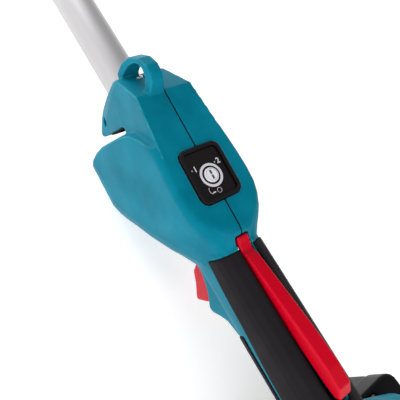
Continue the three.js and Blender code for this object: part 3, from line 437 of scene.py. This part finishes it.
def tube(name, node, outer, inner, chamfer, body):
    """A drawn tube with broken rims, in place of its many-sided CAD solid."""
    start, end = span(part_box(node))
    profile = [(start, inner + chamfer), (start, outer - chamfer), (start + chamfer, outer),
               (end - chamfer, outer), (end, outer - chamfer), (end, inner + chamfer),
               (end - chamfer, inner), (start + chamfer, inner)]
    made = bmesh.new()
    lathe(made, profile, TUBE_STEPS)
    obj = new_object(name, made, ALUMINIUM, body)
    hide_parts(node)


FOAM_R = OUTER_POLE_R + 4.6
FOAM_RIM_R = OUTER_POLE_R + 3
FOAM_BORE_R = OUTER_POLE_R + 0.3
FOAM_CHAMFER = 0.8
FOAM_STEPS = 72
FOAM_ANGLE = 50           # degrees: the grooves are shaded smooth
END_RING = (2, 9, 1.9)    # distance from the sleeve's end, length and height of a moulded ring
END_RING_STEPS = 8
GROOVE = ((-1.6, 0.0), (-0.8, 0.7), (0.0, 1.0), (0.8, 0.7), (1.6, 0.0))   # along and deep
GROOVE_MARGIN, GROOVE_STEP = 16, 6.0


def foam_sleeve():
    """Closed-cell foam sleeve with moulded end rings and shallow finger grooves."""
    start, end = span(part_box("front_grip_sleeve"))
    inset, long, high = END_RING

    def end_ring(x):
        return [(x + long * k / END_RING_STEPS, FOAM_R + high * math.sin(math.pi * k / END_RING_STEPS) ** 0.5)
                for k in range(END_RING_STEPS + 1)]

    profile = [(start, FOAM_RIM_R), (start + FOAM_CHAMFER, FOAM_R)] + end_ring(start + inset)
    x = start + GROOVE_MARGIN
    while x < end - GROOVE_MARGIN:
        profile += [(x + along, FOAM_R - deep) for along, deep in GROOVE]
        x += GROOVE_STEP
    profile += end_ring(end - inset - long)
    profile += [(end - FOAM_CHAMFER, FOAM_R), (end, FOAM_RIM_R), (end, FOAM_BORE_R), (start, FOAM_BORE_R)]
    made = bmesh.new()
    lathe(made, profile, FOAM_STEPS)
    obj = new_object("front_grip_foam", made, FOAM, "handle", FOAM_ANGLE)
    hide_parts("front_grip_sleeve")


# ------------------------------------------------------------------ printed marks on the panel

PRINT = 0.05              # height of the ink
PLATE_SUNK = 0.4          # depth of the plate under the handle's top face
BUTTON_RISE = 0.6         # height of the button over it
BUTTON_RING = (6.75, 8.55)      # inner and outer radius of the ring printed round the button
BUTTON_CIRCLE = (4.15, 4.3)     # and of the thin circle on it
BUTTON_BARS = (0.35, 3.25, 0.8)     # start, end and half width of the two bars on it
NUMERALS = (("1", 9.1), ("2", -10.1))   # speed numbers and where they stand across the panel
NUMERAL_SIZE, NUMERAL_BOLD = 5.6, 0.12


def printed_ring(made, centre, inner, outer, place, steps):
    """Adds a closed flat ring of ink."""
    u, v = centre
    loops = []
    for radius, w in ((inner, 0.0), (outer, 0.0), (outer, PRINT), (inner, PRINT)):
        loops.append([made.verts.new(place(*p, w)) for p in circle(u, v, radius, steps)])
    joined(made, loops + loops[:1])
    bmesh.ops.recalc_face_normals(made, faces=made.faces[:])


def panel_marks():
    """White ring, speed marks and a lock symbol on the glossy plate, and the bar mark on the button."""
    matrix = top_frame()

    def on_plate(u, v, w):
        return matrix @ Vector((u * MM, v * MM, (w - PLATE_SUNK) * MM))

    def on_button(u, v, w):
        return matrix @ Vector((u * MM, v * MM, (w + BUTTON_RISE) * MM))

    made = bmesh.new()
    printed_ring(made, (BUTTON_X, 0), *BUTTON_RING, on_plate, 72)
    new_object("panel_ring", made, WHITE_INK, "handle")

    made = bmesh.new()
    printed_ring(made, (BUTTON_X, 0), *BUTTON_CIRCLE, on_button, 48)
    start, end, half_wide = BUTTON_BARS
    for side in (1, -1):
        near, far = sorted((BUTTON_X + side * start, BUTTON_X + side * end))
        plate(made, rectangle(near, far, -half_wide, half_wide), 0.0, PRINT, on_button)
    new_object("button_mark", made, DARK_INK, "button")

    numerals(matrix)
    lock_symbol(on_plate)


def numerals(matrix):
    """Speed numbers beside their lamps."""
    for label, y in NUMERALS:
        curve = bpy.data.curves.new(f"speed_number_{label}", "FONT")
        curve.body = label
        curve.size = NUMERAL_SIZE * MM
        curve.extrude = PRINT * 0.5 * MM
        curve.offset = NUMERAL_BOLD * MM
        curve.align_x = "CENTER"
        curve.align_y = "CENTER"
        curve.materials.append(WHITE_INK)
        obj = bpy.data.objects.new(f"speed_number_{label}", curve)
        bpy.context.collection.objects.link(obj)
        spot = Vector((LAMP_X * MM, y * MM, (PRINT * 0.5 - PLATE_SUNK) * MM))
        obj.matrix_world = matrix @ Matrix.Translation(spot) @ Matrix.Rotation(math.radians(-90), 4, "Z")
        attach(obj, "handle")


def lock_symbol(place):
    """A generic mark under the button: an arc, a short bar and a small circle."""
    made = bmesh.new()
    plate(made, band(-109.6, 4.4, 2.9, 3.25, 45, 150, 12), 0.0, PRINT, place)
    plate(made, rectangle(-112.0, -111.2, 3.2, 5.8), 0.0, PRINT, place)
    printed_ring(made, (-111.5, 0.1), 1.55, 1.85, place, 32)
    new_object("lock_symbol", made, WHITE_INK, "handle")


# ------------------------------------------------------------------ saw chain

PITCH = 9.4
CHAIN_R = 15.2            # radius of the chain's centre line round both sprockets
CHAIN_RAILS = ((1284, 19.6), (1310, 24.6), (1400, 26.1), (1500, 22.6))   # X, and height over the bar's middle


def chain_path():
    """Closed centre line of the chain as (x, z) points, running forward under the bar and back over it."""
    points = arc(*AXLE, CHAIN_R, 90, 270, 24)
    points += [(x, AXLE[1] - height) for x, height in CHAIN_RAILS]
    points += arc(*NOSE, CHAIN_R, -90, 90, 24)
    points += [(x, AXLE[1] + height) for x, height in reversed(CHAIN_RAILS)]
    return [Vector(p) for p in points]


def evenly(points, count):
    """Places along a closed line at equal spacing: (point, direction)."""
    loop = points + [points[0]]
    lengths = [(b - a).length for a, b in zip(loop, loop[1:])]
    total, places = sum(lengths), []
    for k in range(count):
        along, i = total * k / count, 0
        while along > lengths[i]:
            along -= lengths[i]
            i += 1
        direction = (loop[i + 1] - loop[i]).normalized()
        places.append((loop[i] + direction * along, direction))
    return places


# Outlines of the links: millimetres along the chain and outwards from its centre line.
RIVET_AT, RIVET_R, RIVET_STEPS = 4.7, 1.1, 12
STRAP = arc(RIVET_AT, 0, 2.6, -90, 90, 6) + arc(-RIVET_AT, 0, 2.6, 90, 270, 6)
DRIVE_LINK = arc(3.4, 0, 2.4, 0, 90, 4) + arc(-3.4, 0, 2.4, 90, 180, 4)
DRIVE_LINK += [(-2.6, -3.4), (0, -3.9), (2.6, -3.4)]
CUTTER = [(-6.4, -1.6), (5.6, -1.6), (6.8, 0.4), (6.6, 3.9), (1.2, 5.4), (0.2, 3.6), (-0.8, 1.4), (-2.6, 1.2),
          (-3.4, 3.6), (-5.0, 4.6), (-6.6, 3.0)]
TOP_PLATE = [(0.6, 3.9), (6.7, 3.3), (6.6, 3.9), (1.2, 5.0)]
# How far the plates reach across the chain, from its middle plane.
DRIVE_LINK_HALF, RIVET_HALF = 0.6, 2.3
STRAP_ACROSS = (0.8, 1.9)
TOP_PLATE_ACROSS = (-0.4, 2.5)
CUTTER_SIDES = (0, 1, 0, -1)    # of the strap pairs in turn: none, left, none, right
LINK_ANGLE = 30


def chain():
    """Straps, drive links, cutters with raised depth gauges, and rivets, one link after another."""
    points = chain_path()
    length = sum((b - a).length for a, b in zip(points, points[1:] + points[:1]))
    count = 2 * (round(length / PITCH) // 2)    # even, so that the two kinds of link alternate all the way
    made = bmesh.new()
    for k, (spot, direction) in enumerate(evenly(points, count)):
        outwards = Vector((direction.y, -direction.x))

        def place(u, v, w, spot=spot, direction=direction, outwards=outwards):
            p = spot + direction * u + outwards * v
            return at(p.x, BAR_Y + w, p.y)

        if k % 2:
            plate(made, DRIVE_LINK, -DRIVE_LINK_HALF, DRIVE_LINK_HALF, place)
            continue
        cutter_side = CUTTER_SIDES[(k // 2) % len(CUTTER_SIDES)]
        for side in (-1, 1):
            outline = CUTTER if side == cutter_side else STRAP
            plate(made, outline, *sorted(side * w for w in STRAP_ACROSS), place)
        if cutter_side:
            plate(made, TOP_PLATE, *sorted(cutter_side * w for w in TOP_PLATE_ACROSS), place)
        for end in (-RIVET_AT, RIVET_AT):
            plate(made, circle(end, 0, RIVET_R, RIVET_STEPS), -RIVET_HALF, RIVET_HALF, place)
    bmesh.ops.recalc_face_normals(made, faces=made.faces[:])
    obj = new_object("chain_links", made, DARK_STEEL, "head", LINK_ANGLE)
    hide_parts("saw_chain")


# ------------------------------------------------------------------ small details

CHARGE_LAMPS, CHARGE_SPACING, CHARGE_R = 4, 6, 1.3
CHARGE_HEIGHT = 30        # above the pack's underside
CHARGE_SUNK, CHARGE_LONG = 1.0, 1.2     # how deep a lamp starts in the pack, and its length


def charge_lamps():
    """Four charge lamps on the back of each battery pack."""
    for label in ("left", "right"):
        low, high = (Vector(c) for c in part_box(f"battery_{label}"))
        middle = (low.y + high.y) / 2
        made = bmesh.new()
        for k in range(CHARGE_LAMPS):
            centre = middle + (k - (CHARGE_LAMPS - 1) / 2) * CHARGE_SPACING * MM

            def place(u, v, w, low=low, centre=centre):
                return Vector((low.x + (CHARGE_SUNK - w) * MM, centre + u * MM,
                               low.z + (CHARGE_HEIGHT + v) * MM))

            plate(made, circle(0, 0, CHARGE_R, 16), 0.0, CHARGE_LONG, place)
        bmesh.ops.recalc_face_normals(made, faces=made.faces[:])
        new_object(f"charge_lamps_{label}", made, GREY_INK, f"battery_{label}")


SOCKET_POINTS = 12        # of the star-shaped socket, long and short in turn
SOCKET_SHORT = 0.45       # share of the long ones' reach
SOCKET_FLOOR = 0.3        # share of the head's height


def socket_head(made, radius, height, reach, place):
    """Adds a domed screw head with a star-shaped socket sunk in it."""
    rings = ((radius, 0.0), (radius, height * 0.5), (radius * 0.8, height * 0.9), (radius * 0.45, height))
    dome = [[made.verts.new(place(*p, w)) for p in circle(0, 0, r, 28)] for r, w in rings]
    joined(made, dome)
    made.faces.new(dome[0][::-1])
    star = []
    for k in range(SOCKET_POINTS):
        out = reach * (1 if k % 2 else SOCKET_SHORT)
        turn = 2 * math.pi * k / SOCKET_POINTS
        star.append((out * math.cos(turn), out * math.sin(turn)))
    rim = [made.verts.new(place(*p, height)) for p in star]
    bottom = [made.verts.new(place(*p, height * SOCKET_FLOOR)) for p in star]
    joined(made, [bottom, rim])
    made.faces.new(bottom)
    bmesh.ops.bridge_loops(made, edges=[e for e in made.edges if e.is_boundary])
    bmesh.ops.recalc_face_normals(made, faces=made.faces[:])


RAMP_SLOPE = math.atan2(16.4, 27.5)     # fall of the ramp under the hanger loop over its length
LOOP_SCREW_AT = (-9.5, 3.3, 30.7)
LOOP_SCREW_HEAD = (2.6, 1.5, 1.2)       # radius, height and reach of the socket
LOOP_SCREW_SUNK = 0.2                   # depth of the head's rim in the ramp


def loop_screw():
    """Small steel screw on the ramp under the hanger loop."""
    turn = Matrix.Rotation(RAMP_SLOPE, 4, "Y")
    centre = at(*LOOP_SCREW_AT)

    def place(u, v, w):
        return centre + turn @ (Vector((u, v, w - LOOP_SCREW_SUNK)) * MM)

    made = bmesh.new()
    socket_head(made, *LOOP_SCREW_HEAD, place)
    new_object("loop_screw", made, STEEL, "handle")


# Painted shade: a dark rubber sheet on the jaw's face of the slot, standing in for the shade there.
SHADE_SHEET_LOW, SHADE_SHEET_HIGH = Vector((-12.4, -35)), Vector((-27.6, 1))    # X and Z of its lower and upper edge
SHADE_SHEET_HALF_WIDE, SHADE_SHEET_CORNER, SHADE_SHEET_THICK = 16.5, 3, 0.7
SHADE_SHEET_GAP = 0.1           # off the housing's face
RIBS, RIB_START, RIB_STEP = 5, 5, 7     # how many, and where they start and repeat up the dark sheet
RIB_WIDE, RIB_INSET = 1, 2


def slot_shade_sheet():
    """Thin ribbed black rubber sheet on the jaw's side of the slot behind the neck: painted shade, a dark
    sheet that stands in for the shadow there.
    """
    run = (SHADE_SHEET_HIGH - SHADE_SHEET_LOW).normalized()
    out = Vector((-run.y, run.x))

    def place(u, v, w):
        spot = SHADE_SHEET_LOW + run * v + out * (w + SHADE_SHEET_GAP)
        return at(spot.x, u, spot.y)

    side = SHADE_SHEET_HALF_WIDE - SHADE_SHEET_CORNER
    bottom, top = SHADE_SHEET_CORNER, (SHADE_SHEET_HIGH - SHADE_SHEET_LOW).length - SHADE_SHEET_CORNER
    outline = []
    for u, v, start in ((side, bottom, -90), (side, top, 0), (-side, top, 90), (-side, bottom, 180)):
        outline += arc(u, v, SHADE_SHEET_CORNER, start, start + 90, 5)
    made = bmesh.new()
    plate(made, outline, 0.0, SHADE_SHEET_THICK, place)
    reach = SHADE_SHEET_HALF_WIDE - RIB_INSET
    for k in range(RIBS):
        low = RIB_START + RIB_STEP * k
        rib = rectangle(-reach, reach, low, low + RIB_WIDE)
        plate(made, rib, SHADE_SHEET_THICK * 0.5, SHADE_SHEET_THICK * 1.6, place)
    bmesh.ops.recalc_face_normals(made, faces=made.faces[:])
    new_object("slot_shade_sheet", made, RUBBER, "handle")


BAR_RIVETS = ((1524, 7), (1524, -7), (1531, 3.4), (1531, -3.4))     # X, and height over the bar's middle
BAR_RIVET_R, BAR_RIVET_HALF = 1.5, 2.35


def bar_rivets():
    """Four rivets that hold the sprocket nose of the guide bar."""
    def place(u, v, w):
        return at(u, BAR_Y + w, AXLE[1] + v)

    made = bmesh.new()
    for x, height in BAR_RIVETS:
        plate(made, circle(x, height, BAR_RIVET_R, 16), -BAR_RIVET_HALF, BAR_RIVET_HALF, place)
    bmesh.ops.recalc_face_normals(made, faces=made.faces[:])
    new_object("bar_rivets", made, STEEL, "head")


# ------------------------------------------------------------------ camera, lights and floor

def camera():
    """The photo's viewpoint: close above the operator's left of the handle, looking forward and down."""
    data = bpy.data.cameras.new("camera")
    data.lens = 37.8
    data.sensor_width = 36
    data.clip_start = 0.01
    right = Vector((-0.511734, -0.791147, 0.334985))
    up = Vector((0.836829, -0.370705, 0.402858))
    back = Vector((-0.194539, 0.486481, 0.851757))
    turn = Matrix((right, up, back)).transposed().to_4x4()
    obj = bpy.data.objects.new("camera", data)
    obj.matrix_world = Matrix.Translation(at(-164.719, 148.826, 267.55)) @ turn
    bpy.context.collection.objects.link(obj)
    bpy.context.scene.camera = obj


def soft_light(name, place, target, energy, size):
    """A square area light, placed and aimed in millimetres from the pole axis at the handle's front face."""
    data = bpy.data.lights.new(name, "AREA")
    data.energy = energy
    data.size = size
    obj = bpy.data.objects.new(name, data)
    obj.location = at(*place)
    obj.rotation_euler = (at(*target) - obj.location).to_track_quat("-Z", "Y").to_euler()
    bpy.context.collection.objects.link(obj)


def world():
    """Studio surround: a large soft source on the saw's left, dimmer to the right and overhead."""
    made = bpy.data.worlds.new("studio")
    made.use_nodes = True
    nodes, links = made.node_tree.nodes, made.node_tree.links
    coords = nodes.new("ShaderNodeTexCoord")
    split = nodes.new("ShaderNodeSeparateXYZ")
    links.new(coords.outputs["Generated"], split.inputs["Vector"])
    across = ranged(nodes, links, split.outputs["Y"], 0.5, 1.3, -0.6, 0.8)
    upwards = ranged(nodes, links, split.outputs["Z"], 1.25, 0.7, 0.15, 0.85)
    links.new(combined(nodes, links, "MULTIPLY", across, upwards), nodes["Background"].inputs["Strength"])
    nodes["Background"].inputs["Color"].default_value = (1, 1, 1, 1)
    bpy.context.scene.world = made


FLOOR_HALF = 30.0         # metres
FLOOR_Z = -0.0005         # just under the lowest piece
FLOOR_TONES = ((0.93, 0.93, 0.93), (0.95, 0.95, 0.95))
FLOOR_GLOW = 0.28         # lifts the floor to the photo's white


def floor():
    """A wide pale sweep under the saw."""
    made, nodes, links = node_tree("pale_floor")
    shader = nodes["Principled BSDF"]
    coords = nodes.new("ShaderNodeTexCoord")
    mottled = ranged(nodes, links, noise(nodes, links, coords, 3.0), 0.0, 1.0)
    links.new(blended(nodes, links, mottled, *FLOOR_TONES), shader.inputs["Base Color"])
    shader.inputs["Roughness"].default_value = 0.85
    shader.inputs["Specular IOR Level"].default_value = 0.1
    shader.inputs["Emission Color"].default_value = (1, 1, 1, 1)
    shader.inputs["Emission Strength"].default_value = FLOOR_GLOW
    mesh = bpy.data.meshes.new("floor")
    corners = rectangle(-FLOOR_HALF, FLOOR_HALF, -FLOOR_HALF, FLOOR_HALF)
    mesh.from_pydata([(x, y, FLOOR_Z) for x, y in corners], [], [(0, 1, 2, 3)])
    mesh.materials.append(made)
    obj = bpy.data.objects.new("floor", mesh)
    bpy.context.collection.objects.link(obj)


# ------------------------------------------------------------------ making

finish_nodes()
tube("pole_outer_tube", "outer_pole", OUTER_POLE_R, OUTER_BORE_R, 0.4, "handle")
tube("pole_inner_tube", "inner_pole", INNER_POLE_R, INNER_BORE_R, 0.3, "head")
foam_sleeve()
panel_marks()
chain()
bar_rivets()
loop_screw()
# painted shade: a dark sheet in the slot
slot_shade_sheet()
charge_lamps()
camera()
world()
soft_light("key", (-420, 520, 230), (-80, 0, 0), 1.2, 0.5)
soft_light("front", (640, 40, 220), (-40, 0, 30), 3.2, 0.4)
soft_light("rear", (-760, -120, 330), (-150, 0, 20), 2.2, 0.4)
floor()
bpy.context.scene.view_settings.view_transform = "Standard"
